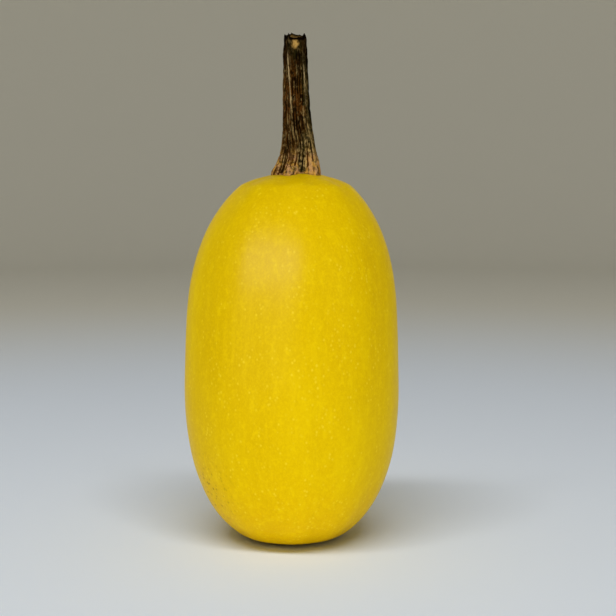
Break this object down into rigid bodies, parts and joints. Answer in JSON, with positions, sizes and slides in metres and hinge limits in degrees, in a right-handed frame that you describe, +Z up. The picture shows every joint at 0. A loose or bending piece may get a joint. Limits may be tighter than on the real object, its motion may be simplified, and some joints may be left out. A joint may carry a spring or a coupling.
{
  "type": "spaghetti squash",
  "caption": "Whole oval yellow squash standing on its blossom end, with a long, dry, ridged stem on its crown.",
  "frame": {"origin": "on the surface that the squash stands on, under the middle of the fruit", "axes": "+Z up along the fruit and its stem, -Y towards the front, +X to the right"},
  "size_m": [0.1352, 0.1352, 0.317],
  "materials": {
    "rind": "satin",
    "dried_stem": "matte"
  },
  "bodies": {
    "root": {"fruit": "rind", "stem": "dried_stem"}
  },
  "joints": []
}
